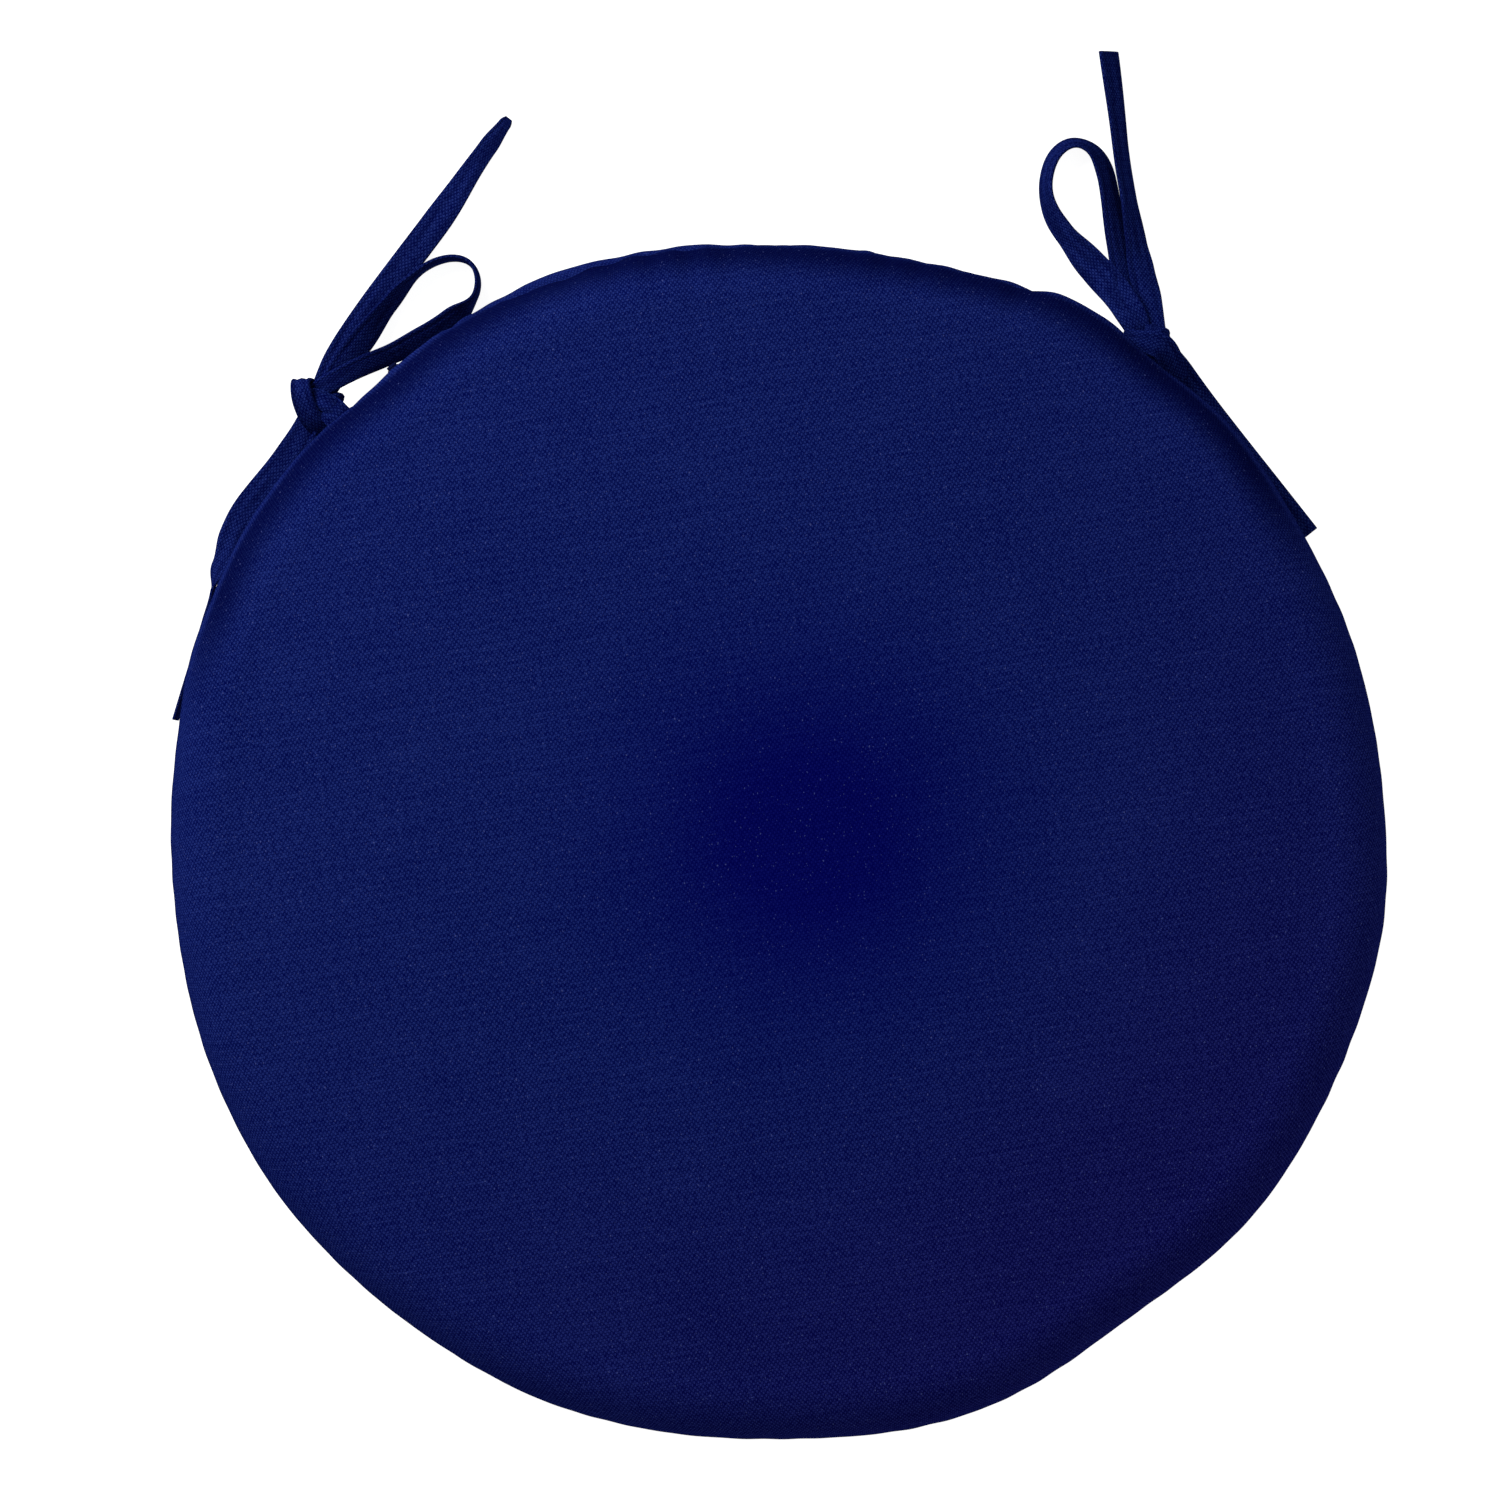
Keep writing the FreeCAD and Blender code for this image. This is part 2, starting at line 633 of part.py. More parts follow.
def corner_arc(before, corner, after):
    """The arc that rounds a corner of a route: its first, middle and last points, and radius."""
    back, on = before - corner, after - corner
    reach = ARC_SHARE * min(back.Length, on.Length)
    back, on = back.normalize(), on.normalize()
    half_turn = (math.pi - back.getAngle(on)) / 2
    radius = reach / math.tan(half_turn)
    middle = (back + on).normalize() * (radius / math.cos(half_turn) - radius)
    return (corner + back * reach, corner + middle, corner + on * reach), radius


def strap_wire(points):
    """Straight runs joined by tangent arcs."""
    edges, radii, here = [], [], points[0]
    for before, corner, after in zip(points, points[1:], points[2:]):
        (first, middle, last), radius = corner_arc(before, corner, after)
        edges += [Part.LineSegment(here, first).toShape(), Part.Arc(first, middle, last).toShape()]
        radii.append(radius)
        here = last
    edges.append(Part.LineSegment(here, points[-1]).toShape())
    return Part.Wire(edges), radii


def make_strap(label, angle, route, on_edge):
    """A strap swept along its route with its section kept upright, lying flat or on its edge."""
    turned = math.radians(angle.value)
    centre = Vector(-math.sin(turned), math.cos(turned), 0) * knot_radius.value
    moved = Rotation(Vector(0, 0, 1), angle.value - math.copysign(ROUTE_ANGLE, angle.value))
    points = [centre + moved.multVec(Vector(*step)) for step in route]
    wire, radii = strap_wire(points)
    across, upright = size["strap_width"].value / 2, strap_half.value
    if on_edge:
        across, upright = upright, across
    along = points[1] - points[0]
    side = Vector(-along.y, along.x, 0).normalize() * across
    up = Vector(0, 0, upright)
    corners = [points[0] + shift for shift in (side + up, up - side, -side - up, side - up)]
    sweep = Part.BRepOffsetAPI.MakePipeShell(wire)
    sweep.setBiNormalMode(Vector(0, 0, 1))
    sweep.add(Part.makePolygon(corners + corners[:1]))
    sweep.build()
    sweep.makeSolid()
    strap = document.addObject("Part::Feature", label)
    strap.Label = label
    strap.Shape = sweep.shape()
    plan = sum(math.hypot(edge.tangentAt(edge.getParameterByLength(edge.Length / 2)).x,
                          edge.tangentAt(edge.getParameterByLength(edge.Length / 2)).y)
               * edge.Length for edge in wire.Edges)
    expected = 4 * across * upright * plan
    print(f"{label}: length {wire.Length:.1f}, least radius {min(radii):.1f}, "
          f"radii {[round(radius, 1) for radius in radii]}, "
          f"volume {strap.Shape.Volume:.0f} of {expected:.0f}")


def make_ties():
    for name, angle, straps in (
        ("left", size["tie_angle"], (
            ("end", LEFT_END, False), ("loop", LEFT_LOOP, True), ("tail", LEFT_TAIL, True))),
        ("right", -size["tie_angle"], (
            ("end", RIGHT_END, False), ("loop", RIGHT_LOOP, True), ("tail", RIGHT_TAIL, False))),
    ):
        make_tie_anchor(name, angle)
        make_knot(name, angle)
        for piece, route, on_edge in straps:
            make_strap(f"tie_{name}_{piece}", angle, route, on_edge)


def is_sub_part(item):
    """A body, or a shape that is in no body."""
    return item.TypeId in ("PartDesign::Body", "Part::Feature") and not item.getParentGeoFeatureGroup()


def write_parts():
    """Checks every object and each sub-part's shape, then writes one STEP file for each."""
    for item in document.Objects:
        if {"Invalid", "Error"} & set(item.State):
            raise RuntimeError(f"{item.Label} failed: {item.State}")
    parts = [item for item in document.Objects if is_sub_part(item)]
    for item in parts:
        shape = item.Shape
        if shape.isNull() or not shape.isValid() or len(shape.Solids) != 1:
            raise RuntimeError(f"{item.Label} is not one valid solid")
    os.makedirs("parts", exist_ok=True)
    for item in parts:
        item.Shape.exportStep(f"parts/{item.Label}.step")
        box = item.Shape.BoundBox
        print(f"{item.Label}: {item.Shape.Volume:.1f} mm3, z {box.ZMin:.2f} to {box.ZMax:.2f}")
    print(len(parts), "parts; hinge of the ties at radius", hinge_radius.value,
          "height", hinge_height.value)
    print("slider parks at", round(park_angle.value, 3), "degrees from the back")


make_top_panel()
make_bottom_panel()
make_foam()
make_batting()
make_seam_threads()
make_zipper_tapes()
make_zipper_stops()
make_slider()
make_pull()
make_ties()
document.recompute()
write_parts()
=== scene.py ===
# %% [markdown]
# # A round tie-on seat cushion
# The cushion is a knife-edge pad: two round panels of navy canvas sewn together round the rim, foam
# and batting inside, a concealed zipper in the back of the seam, and two fabric ties in half bows.
# The solids that carry weight and move come ready made. This lesson dresses them in cloth.

# %% Load the fixed frame
import math

import bpy
import numpy as np
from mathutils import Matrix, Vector


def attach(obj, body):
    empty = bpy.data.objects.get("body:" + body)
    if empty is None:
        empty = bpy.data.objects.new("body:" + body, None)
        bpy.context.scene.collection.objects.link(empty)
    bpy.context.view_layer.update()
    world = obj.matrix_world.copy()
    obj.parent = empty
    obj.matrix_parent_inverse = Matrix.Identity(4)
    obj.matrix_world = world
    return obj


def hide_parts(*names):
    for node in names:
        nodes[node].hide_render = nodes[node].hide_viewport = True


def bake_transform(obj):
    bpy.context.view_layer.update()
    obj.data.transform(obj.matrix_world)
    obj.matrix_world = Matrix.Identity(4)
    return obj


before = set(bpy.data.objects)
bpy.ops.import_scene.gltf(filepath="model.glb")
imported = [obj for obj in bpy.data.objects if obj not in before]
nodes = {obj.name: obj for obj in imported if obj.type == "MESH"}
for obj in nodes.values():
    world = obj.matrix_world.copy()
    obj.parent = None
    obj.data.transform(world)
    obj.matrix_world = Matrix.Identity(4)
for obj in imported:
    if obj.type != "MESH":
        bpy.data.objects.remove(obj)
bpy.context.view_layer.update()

MM = 0.001

# %% [markdown]
# ## The camera
# The cushion is seen from straight above, a little off its middle, with the ties at the top. A long
# lens keeps its outline round. The camera is made first, because the room that loose cords may take
# is judged by what it sees.

# %% The camera
SEAM_RADIUS = 200 * MM
SEAM_HEIGHT = 22 * MM
VIEW_TURN = math.radians(-4.5)      # the cushion lies a little askew in the view
VIEW_WIDTH = 496.5 * MM             # what the view takes in at the height of the seam
VIEW_CENTRE = (-7.2 * MM, 31.1 * MM)
LENS, SENSOR = 85, 36

camera_data = bpy.data.cameras.new("camera")
camera_data.lens, camera_data.sensor_width = LENS, SENSOR
camera = bpy.data.objects.new("camera", camera_data)
bpy.context.scene.collection.objects.link(camera)
camera.location = (*VIEW_CENTRE, SEAM_HEIGHT + VIEW_WIDTH * LENS / SENSOR)
camera.rotation_euler = (0, 0, VIEW_TURN)
bpy.context.scene.camera = camera
print("camera at", np.round(camera.location, 3))

# %% [markdown]
# ## Surfaces as grids
# Every cloth piece here is a grid of points worked out by a formula: across one way and along the
# other. Helpers turn such a grid into a mesh, close its rings and ends, and keep a UV map in real
# sizes of cloth, so that the weave has its true size everywhere.

# %% From a grid to a mesh
def smooth(value):
    """0 below 0, 1 above 1, and a smooth rise between."""
    value = np.clip(value, 0, 1)
    return value * value * (3 - 2 * value)


def grid_faces(rows, columns, rings=False):
    """The four-cornered faces between neighbouring rows and columns of a grid. With rings set, the
    last column is joined to the first."""
    i, j = np.meshgrid(np.arange(rows - 1), np.arange(columns if rings else columns - 1),
                       indexing="ij")
    after_j = (j + 1) % columns
    corners = [i * columns + j, i * columns + after_j, (i + 1) * columns + after_j,
               (i + 1) * columns + j]
    return np.stack(corners, -1).reshape(-1, 4)


def closed_tube(grid, ends, uv, end_uv):
    """Points, faces and UV of a tube: rings of points, closed at both ends by a fan round one more
    point. If the volume that the faces enclose comes out negative they look inwards, and all of
    them are turned round."""
    rows, count = grid.shape[:2]
    points = np.vstack([grid.reshape(-1, 3), ends])
    ring = np.arange(count)
    after, start = np.roll(ring, -1), (rows - 1) * count
    first, last = len(points) - 2, len(points) - 1
    quads = grid_faces(rows, count, rings=True)
    fans = np.vstack([np.stack([np.full(count, first), after, ring], 1),
                      np.stack([np.full(count, last), start + ring, start + after], 1)])
    threes = np.vstack([quads[:, :3], quads[:, [0, 2, 3]], fans])
    a, b, c = (points[threes[:, k]] for k in range(3))
    way = 1 if (a * np.cross(b, c)).sum() > 0 else -1
    faces = [tuple(face[::way]) for face in quads] + [tuple(face[::way]) for face in fans]
    return points, faces, np.vstack([uv.reshape(-1, 2), end_uv])


def mesh_piece(name, points, faces, uv=None, finish=None):
    """Makes an object at the origin from points, faces of four or three corners, and a UV per
    point."""
    mesh = bpy.data.meshes.new(name)
    corners = np.array([corner for face in faces for corner in face])
    sizes = np.array([len(face) for face in faces])
    mesh.vertices.add(len(points))
    mesh.vertices.foreach_set("co", np.asarray(points, np.float32).ravel())
    mesh.loops.add(len(corners))
    mesh.loops.foreach_set("vertex_index", corners.astype(np.int32))
    mesh.polygons.add(len(sizes))
    starts = np.concatenate([[0], np.cumsum(sizes)[:-1]])
    mesh.polygons.foreach_set("loop_start", starts.astype(np.int32))
    mesh.update(calc_edges=True)
    if uv is not None:
        layer = mesh.uv_layers.new(name="cloth")
        layer.data.foreach_set("uv", np.asarray(uv, np.float32)[corners].ravel())
    mesh.polygons.foreach_set("use_smooth", np.ones(len(sizes), bool))
    mesh.validate()
    piece = bpy.data.objects.new(name, mesh)
    bpy.context.scene.collection.objects.link(piece)
    if finish is not None:
        mesh.materials.append(finish)
    return piece


print("faces of 3 by 4 points:", len(grid_faces(3, 4)), "as a sheet and",
      len(grid_faces(3, 4, rings=True)), "as a tube")


# %% [markdown]
# ## Finishes
# Cloth is a pattern of threads, so its colour, roughness and bump are sums and products of waves
# and noise. A small class lets such maths be written as plain expressions, and one method adds any
# other node. Only the colour, the roughness and the normal change over a surface.

# %% Expressions on sockets
class Wire:
    """An output socket that can be added, multiplied and compared with numbers and other wires."""

    def __init__(self, finish, socket):
        self.finish, self.socket = finish, socket

    def maths(self, operation, *values):
        return self.finish.node("ShaderNodeMath", dict(enumerate(values)), operation=operation)

    def __add__(self, other):
        return self.maths("ADD", self, other)

    def __radd__(self, other):
        return self.maths("ADD", other, self)

    def __sub__(self, other):
        return self.maths("SUBTRACT", self, other)

    def __rsub__(self, other):
        return self.maths("SUBTRACT", other, self)

    def __mul__(self, other):
        return self.maths("MULTIPLY", self, other)

    def sine(self):
        return self.maths("SINE", self)

    def size(self):
        return self.maths("ABSOLUTE", self)

    def power(self, exponent):
        return self.maths("POWER", self, exponent)

    def step_up(self, low, high):
        """0 below low, 1 above high and a smooth rise between."""
        return self.finish.node(
            "ShaderNodeMapRange", {0: self, 1: low, 2: high}, interpolation_type="SMOOTHSTEP")


class Finish:
    """A material being built, with the nodes that its pattern needs."""

    def __init__(self, name):
        self.material = bpy.data.materials.new(name)
        self.material.use_nodes = True
        self.tree = self.material.node_tree
        self.shader = next(n for n in self.tree.nodes if n.type == "BSDF_PRINCIPLED")

    def node(self, kind, values=None, output=0, **settings):
        """Adds a node: its settings first, then a number, colour or wire for each socket."""
        made = self.tree.nodes.new(kind)
        for setting, value in settings.items():
            setattr(made, setting, value)
        for socket, value in (values or {}).items():
            self.give(made.inputs[socket], value)
        return Wire(self, made.outputs[output])

    def give(self, target, value):
        if isinstance(value, Wire):
            self.tree.links.new(value.socket, target)
        else:
            target.default_value = value

    def set(self, **values):
        """Gives the main shader its constants and its links, by the sockets' names."""
        for name, value in values.items():
            self.give(self.shader.inputs[name.replace("_", " ")], value)
        return self.material

    def place(self, source):
        """The place on the cloth's own UV map, or on the object."""
        return self.node("ShaderNodeTexCoord", output={"UV": 2, "Object": 3}[source])

    def axes(self, place):
        """The directions of a place, each as a number."""
        parts = self.tree.nodes.new("ShaderNodeSeparateXYZ")
        self.tree.links.new(place.socket, parts.inputs[0])
        return [Wire(self, socket) for socket in parts.outputs]

    def noise(self, place, scale, detail=2, roughness=0.5):
        return self.node("ShaderNodeTexNoise", {
            "Vector": place, "Scale": scale, "Detail": detail, "Roughness": roughness})

    def stretched(self, place, scale):
        """The place, with each direction multiplied by its own number."""
        return self.node("ShaderNodeVectorMath", {0: place, 1: scale}, operation="MULTIPLY")

    def mix(self, share, first, second):
        mixed = self.tree.nodes.new("ShaderNodeMix")
        mixed.data_type = "RGBA"
        self.give(mixed.inputs[0], share)
        self.give(mixed.inputs[6], first)
        self.give(mixed.inputs[7], second)
        return Wire(self, mixed.outputs[2])

    def bump(self, height, strength, distance):
        return self.node("ShaderNodeBump", {
            "Height": height, "Strength": strength, "Distance": distance})

    def painted(self, name):
        """A value kept at each point of the mesh under this name."""
        return self.node("ShaderNodeAttribute", attribute_name=name, output=2)


# %% [markdown]
# ## The canvas
# The cover is a plain weave: each thread of the warp goes over one of the weft and under the next.
# Two sets of rounded ridges whose turn alternates from square to square make it. Slubs, which are
# thicker stretches of thread, show as faint streaks both ways, and a little pale lint lies on it.

# %% Weave, slubs and lint
WARP_PITCH, WEFT_PITCH = 0.68 * MM, 0.88 * MM
CLOTH_TURN = math.radians(4.7)      # the cloth was cut a little off the line of the ties

# the darkest and the lightest colours of the weave, the darkest partly painted shade between threads:
# of the cover, its middle, its rim and the ties
DEEP_NAVY, LIGHT_NAVY = (0.0004, 0.0016, 0.041, 1), (0.0092, 0.0190, 0.113, 1)
# painted lack of sheen: the middle of the top is painted darker and bluer than the rest of the cover
NO_SHEEN_DEEP, NO_SHEEN_LIGHT = (0.0001, 0.0003, 0.047, 1), (0.0022, 0.0032, 0.077, 1)
# painted shade: the rim is painted duller and darker
RIM_SHADE_DEEP, RIM_SHADE_LIGHT = (0.0010, 0.0008, 0.036, 1), (0.0105, 0.0118, 0.096, 1)
STRAP_DEEP, STRAP_LIGHT = (0.0003, 0.0010, 0.032, 1), (0.0085, 0.0170, 0.102, 1)
# painted shade, in the crease beside the seam, in the groove at the back and in streaks on the straps
PAINTED_SHADE_NAVY = (0.0003, 0.0005, 0.016, 1)
LINT = (0.05, 0.065, 0.20, 1)


def weave(across, along):
    """Height of a plain weave, and where the warp is on top: ridges of warp where the two sines
    agree, and of weft where they don't."""
    wave_across = (across * (math.pi / WARP_PITCH)).sine()
    wave_along = (along * (math.pi / WEFT_PITCH)).sine()
    over = (wave_across * wave_along).step_up(-0.2, 0.2)
    ridge_warp, ridge_weft = wave_across.size().power(0.8), wave_along.size().power(0.8)
    return ridge_warp * over + ridge_weft * (1 - over), over


def cover_shades(finish, place, share, colour):
    """The cover's cloth is painted darker and bluer in the middle, a painted lack of sheen; painted
    duller and darker round the rim and in the crease beside the seam, painted shade; and it is linty."""
    # painted lack of sheen in the middle of the top
    middle = finish.mix(share, NO_SHEEN_DEEP, NO_SHEEN_LIGHT)
    colour = finish.mix(finish.painted("tone"), colour, middle)
    # painted shade round the rim, duller and darker
    rim = finish.mix(share, RIM_SHADE_DEEP, RIM_SHADE_LIGHT)
    colour = finish.mix(finish.painted("edge"), colour, rim)
    # painted shade in the crease beside the seam and in the groove at the back
    colour = finish.mix(finish.painted("crease"), colour, PAINTED_SHADE_NAVY)
    specks = finish.noise(finish.stretched(place, (1500, 1000, 1)), 1.0, 1, 0.4)
    return finish.mix(specks.step_up(0.70, 0.76) * 0.55, colour, LINT)


def strap_shades(finish, place, share, colour):
    """The straps are painted darker in long soft streaks: painted shade standing in for folds in
    them.
    """
    streak = finish.noise(finish.stretched(place, (420, 45, 1)), 1.0, 2, 0.5)
    return finish.mix(streak.step_up(0.42, 0.62) * 0.45, colour, PAINTED_SHADE_NAVY)


def canvas(name, deep, light, shades):
    """Navy canvas: deep and light are its darkest and lightest colours, the darkest partly painted
    shade in the gaps between threads, and shades is what else changes its colour from place to place."""
    finish = Finish(name)
    place = finish.place("UV")
    across, along, _ = finish.axes(place)
    height, over = weave(across, along)
    slub_weft = finish.noise(finish.stretched(place, (30, 700, 1)), 1.0, 3, 0.6)
    slub_warp = finish.noise(finish.stretched(place, (900, 26, 1)), 1.0, 3, 0.6)
    patch = finish.noise(place, 14, 3, 0.6)
    thread = finish.noise(finish.stretched(place, (650, 900, 1)), 1.0, 1, 0.5)
    grain = slub_weft * 0.5 + slub_warp * 0.25 + patch * 0.25
    # the share is lighter on the threads' crowns and darker in the gaps, painted shade, and lighter
    # where the warp is on top, painted light as from a lamp to one side; slubs, patches and threads
    # add the cloth's own tone
    share = height * 0.65 + over * 0.42 + (grain - 0.5) * 0.8 + (thread - 0.5) * 0.9 - 0.3
    share = share.step_up(0.0, 0.9)
    colour = shades(finish, place, share, finish.mix(share, deep, light))
    rough = 0.86 + (grain - 0.5) * 0.2
    normal = finish.bump(height + thread * 0.6, 0.7, 0.12 * MM)
    return finish.set(Base_Color=colour, Roughness=rough, Normal=normal,
                      Specular_IOR_Level=0.0)


cover_cloth = canvas("navy_canvas", DEEP_NAVY, LIGHT_NAVY, cover_shades)
strap_cloth = canvas("navy_strap", STRAP_DEEP, STRAP_LIGHT, strap_shades)
print("cloth:", cover_cloth.name, strap_cloth.name)


# %% Enamel, nylon and thread
def plain(name, colour, roughness, specular, wear=None):
    """A smooth finish whose colour and roughness wander a little, rubbed paler where wear says."""
    finish = Finish(name)
    place = finish.place("Object")
    cloud = finish.noise(place, 300, 3, 0.6)
    shade = finish.mix(cloud, tuple(c * 0.8 for c in colour[:3]) + (1,), colour)
    if wear is not None:
        shade = finish.mix(finish.noise(place, 900, 4, 0.7).step_up(0.62, 0.7) * 0.5, shade, wear)
    return finish.set(Base_Color=shade, Roughness=roughness + (cloud - 0.5) * 0.2,
                      Specular_IOR_Level=specular)


navy_enamel = plain("navy_enamel", (0.0020, 0.0040, 0.035, 1), 0.5, 0.03,
                    wear=(0.008, 0.011, 0.05, 1))
coil_nylon = plain("coil_nylon", (0.0030, 0.0060, 0.050, 1), 0.35, 0.3)
navy_thread = plain("navy_thread", (0.0040, 0.0080, 0.060, 1), 0.7, 0.1)
print("finishes:", [m.name for m in bpy.data.materials][-5:])

# %% [markdown]
# ## The ties
# Each tie is a folded strap, sewn shut along one edge, 10 mm wide. Tied in a half bow it shows three
# legs: a free end, a loop and a tail. Each is a flat cord: a smooth line that lies on the floor or
# leans on the rim, and a thin section carried along it that rolls from lying flat to standing on its
# edge.

# %% Routes of the legs
STRAP_WIDTH, STRAP_THICKNESS = 10 * MM, 1.6 * MM
TIE_DEGREES = 41.5                  # between the back and each tie
TIE_ANGLE = math.radians(TIE_DEGREES)
KNOT_RADIUS = 209.4 * MM
ROUTES = {
    "tie_left_end": ((-1.5, 3.5, 15), (4, 14, 14), (14.8, 30.2, 5), (29, 47.2, 1.5),
                     (43.8, 63.8, 1.5), (56.1, 80, 1.5), (67.3, 92.7, 1.5)),
    "tie_left_loop": ((0, 4, 16), (6, 12.5, 17), (14.5, 22.5, 10.5), (23.5, 34, 6), (33.5, 44, 5.2),
                      (43.2, 47.4, 5.2), (51, 45.6, 5.2), (53.4, 38.8, 5.2), (51, 31.6, 5.2),
                      (42, 25.2, 5.6), (31, 19.6, 7), (22, 15.4, 10.5), (12.5, 11.7, 16),
                      (5, 8, 19.5), (-1.5, 5.2, 18.5), (-4.5, 3.5, 14.5)),
    "tie_left_tail": ((-4, -2, 18.5), (-8, -9, 16), (-16.2, -18.4, 12), (-25, -26.4, 8),
                      (-31.6, -33, 6), (-35.6, -39.5, 5.2), (-38.8, -46.5, 5.2),
                      (-43, -54, 5.2), (-44.9, -62.5, 5.2), (-50.5, -77, 5.2), (-56.5, -91.5, 5.2),
                      (-60, -100.5, 5.2)),
    "tie_right_end": ((-1.6, 2.8, 17), (-1.9, 12.5, 14), (-2.6, 24, 7.5), (-3.2, 34, 4.5),
                      (-4.6, 48, 3.5), (-6, 63, 4.2), (-6.4, 80, 4.5), (-7.5, 98.7, 4.5)),
    "tie_right_loop": ((-3, 4, 14), (-7.5, 13.8, 13), (-9.2, 22.7, 10), (-9.6, 30, 7.5),
                       (-10.2, 38.6, 6), (-10.8, 49.6, 5.5), (-11.8, 59, 5.2), (-14.6, 66, 5.2),
                       (-20.3, 69.4, 5.2), (-25.6, 68.2, 5.2), (-30, 63.5, 5.2), (-32.6, 54.8, 5.2),
                       (-31.3, 46, 5.4), (-26.8, 38, 6), (-21.2, 30, 7.5), (-16.1, 22.8, 10),
                       (-11.4, 15.6, 14), (-7.8, 7.6, 18), (-5.5, 1, 17.5), (-3, -2, 14)),
    "tie_right_tail": ((0.8, -2.2, 15), (5.6, -9.5, 11), (14.3, -22, 5), (24.8, -37, 2),
                       (35.3, -52.4, 1.5), (46.3, -68.9, 1.5)),
}


def knot_centre(side):
    """The middle of a tie's knot: side is -1 on the left and 1 on the right."""
    return np.array([side * math.sin(TIE_ANGLE), math.cos(TIE_ANGLE), 0]) * KNOT_RADIUS


print("routes and their points:", {name: len(points) for name, points in ROUTES.items()})


# %% A smooth line along a route
def smooth_line(name, points, spacing=1.0 * MM):
    """Points at even steps along the NURBS line that has the route's points as its controls."""
    curve = bpy.data.curves.new(name, "CURVE")
    curve.dimensions, curve.resolution_u = "3D", 24
    spline = curve.splines.new("NURBS")
    spline.points.add(len(points) - 1)
    spline.points.foreach_set("co", np.c_[points, np.ones(len(points))].ravel())
    spline.order_u = 3
    spline.use_endpoint_u = True
    holder = bpy.data.objects.new(name, curve)
    mesh = bpy.data.meshes.new_from_object(holder)
    line = np.zeros(len(mesh.vertices) * 3)
    mesh.vertices.foreach_get("co", line)
    line = line.reshape(-1, 3)
    bpy.data.objects.remove(holder)
    bpy.data.meshes.remove(mesh)
    gone = np.r_[0, np.cumsum(np.linalg.norm(np.diff(line, axis=0), axis=1))]
    keep = np.r_[True, np.diff(gone) > 1e-9]
    steps = np.linspace(0, gone[-1], max(8, round(gone[-1] / spacing)))
    return np.stack([np.interp(steps, gone[keep], line[keep, k]) for k in range(3)], 1), steps


# %% A ribbon carried along a line
def eased(share, stops):
    """A value along a line: smooth rises between (share, value) stops."""
    places, values = np.array(stops, float).T
    at = np.clip(np.searchsorted(places, share, side="right") - 1, 0, len(places) - 2)
    part = smooth((share - places[at]) / (places[at + 1] - places[at]))
    return values[at] + (values[at + 1] - values[at]) * part


def ribbon_section(count=52):
    """A folded strap's outline, one unit wide and thick: flat faces with soft folded edges. Beside
    the sewn edge a groove runs along both faces, where the stitches pull the cloth in."""
    turn = np.linspace(0, 2 * math.pi, count, endpoint=False)
    across = np.sign(np.cos(turn)) * np.abs(np.cos(turn)) ** 0.45
    through = np.sign(np.sin(turn)) * np.abs(np.sin(turn)) ** 0.5
    groove = 1 - 0.38 * np.exp(-((across - 0.62) / 0.07) ** 2)
    return across / 2, through / 2 * (1 - 0.1 * across) * groove


def wrapped(name, grid, across, through, steps, finish):
    """The mesh of a strap whose rings are the grid's rows. Its UV map is the way round the
    section and the way along the line."""
    around = np.r_[0, np.cumsum(np.hypot(np.diff(across), np.diff(through)))]
    uv = np.stack(np.meshgrid(around, steps), -1)
    points, faces, uv = closed_tube(grid, [grid[0].mean(0), grid[-1].mean(0)], uv,
                                    [uv[0, 0], uv[-1, 0]])
    return mesh_piece(name, points, faces, uv, finish)


def ribbon(name, line, steps, roll, width, finish):
    """Carries the section along the line. Its width lies level at roll 0 and upright at 90
    degrees. Each point is the line's point plus the section's two sides times their directions."""
    along = np.gradient(line, axis=0)
    along /= np.linalg.norm(along, axis=1)[:, None]
    level = np.cross([0, 0, 1], along)
    level /= np.linalg.norm(level, axis=1)[:, None]
    above = np.cross(along, level)
    turned = np.radians(roll)[:, None]
    side = level * np.cos(turned) + above * np.sin(turned)
    face = above * np.cos(turned) - level * np.sin(turned)
    across, through = ribbon_section()
    points = (line[:, None] + side[:, None] * (across[None, :, None] * width[:, None, None])
              + face[:, None] * (through[None, :, None] * STRAP_THICKNESS))
    return wrapped(name, points, across * width.max(), through * STRAP_THICKNESS, steps, finish)


# %% The six legs
LEGS = {
    # name: (share of the length and roll in degrees, share of the length and width in mm)
    "tie_left_end": ([(0, 10), (0.3, 4), (0.75, -6), (1, 20)],
                     [(0, 8.2), (0.12, 9.8), (0.62, 9.8), (0.9, 6.4), (0.985, 4.4), (1, 2.6)]),
    "tie_left_loop": ([(0, 15), (0.12, 30), (0.26, 65), (0.36, 88), (0.55, 92), (0.63, 138),
                       (0.78, 146), (0.9, 160), (1, 180)],
                      [(0, 7), (0.12, 9.4), (0.6, 9.6), (0.7, 8.8), (0.8, 7.2), (0.93, 6.6),
                       (1, 6)]),
    "tie_left_tail": ([(0, 0), (0.12, 5), (0.3, 8), (0.44, 14), (0.54, 48), (0.62, 86),
                       (0.7, 92), (1, 88)],
                      [(0, 8), (0.15, 9.8), (1, 9.6)]),
    "tie_right_end": ([(0, 8), (0.12, 12), (0.25, 25), (0.35, 42), (0.5, 54), (0.65, 54), (1, 44)],
                      [(0, 9), (0.15, 10), (1, 9.6)]),
    "tie_right_loop": ([(0, 20), (0.08, 30), (0.2, 38), (0.35, 48), (0.45, 66), (0.58, 72),
                        (0.68, 58), (0.77, 24), (0.86, 5), (1, 0)],
                       [(0, 8), (0.1, 9.6), (0.7, 10), (0.8, 10.8), (0.9, 10.2), (1, 7)]),
    "tie_right_tail": ([(0, 5), (1, 0)],
                       [(0, 8), (0.15, 9.8), (1, 9.8)]),
}
legs = {}
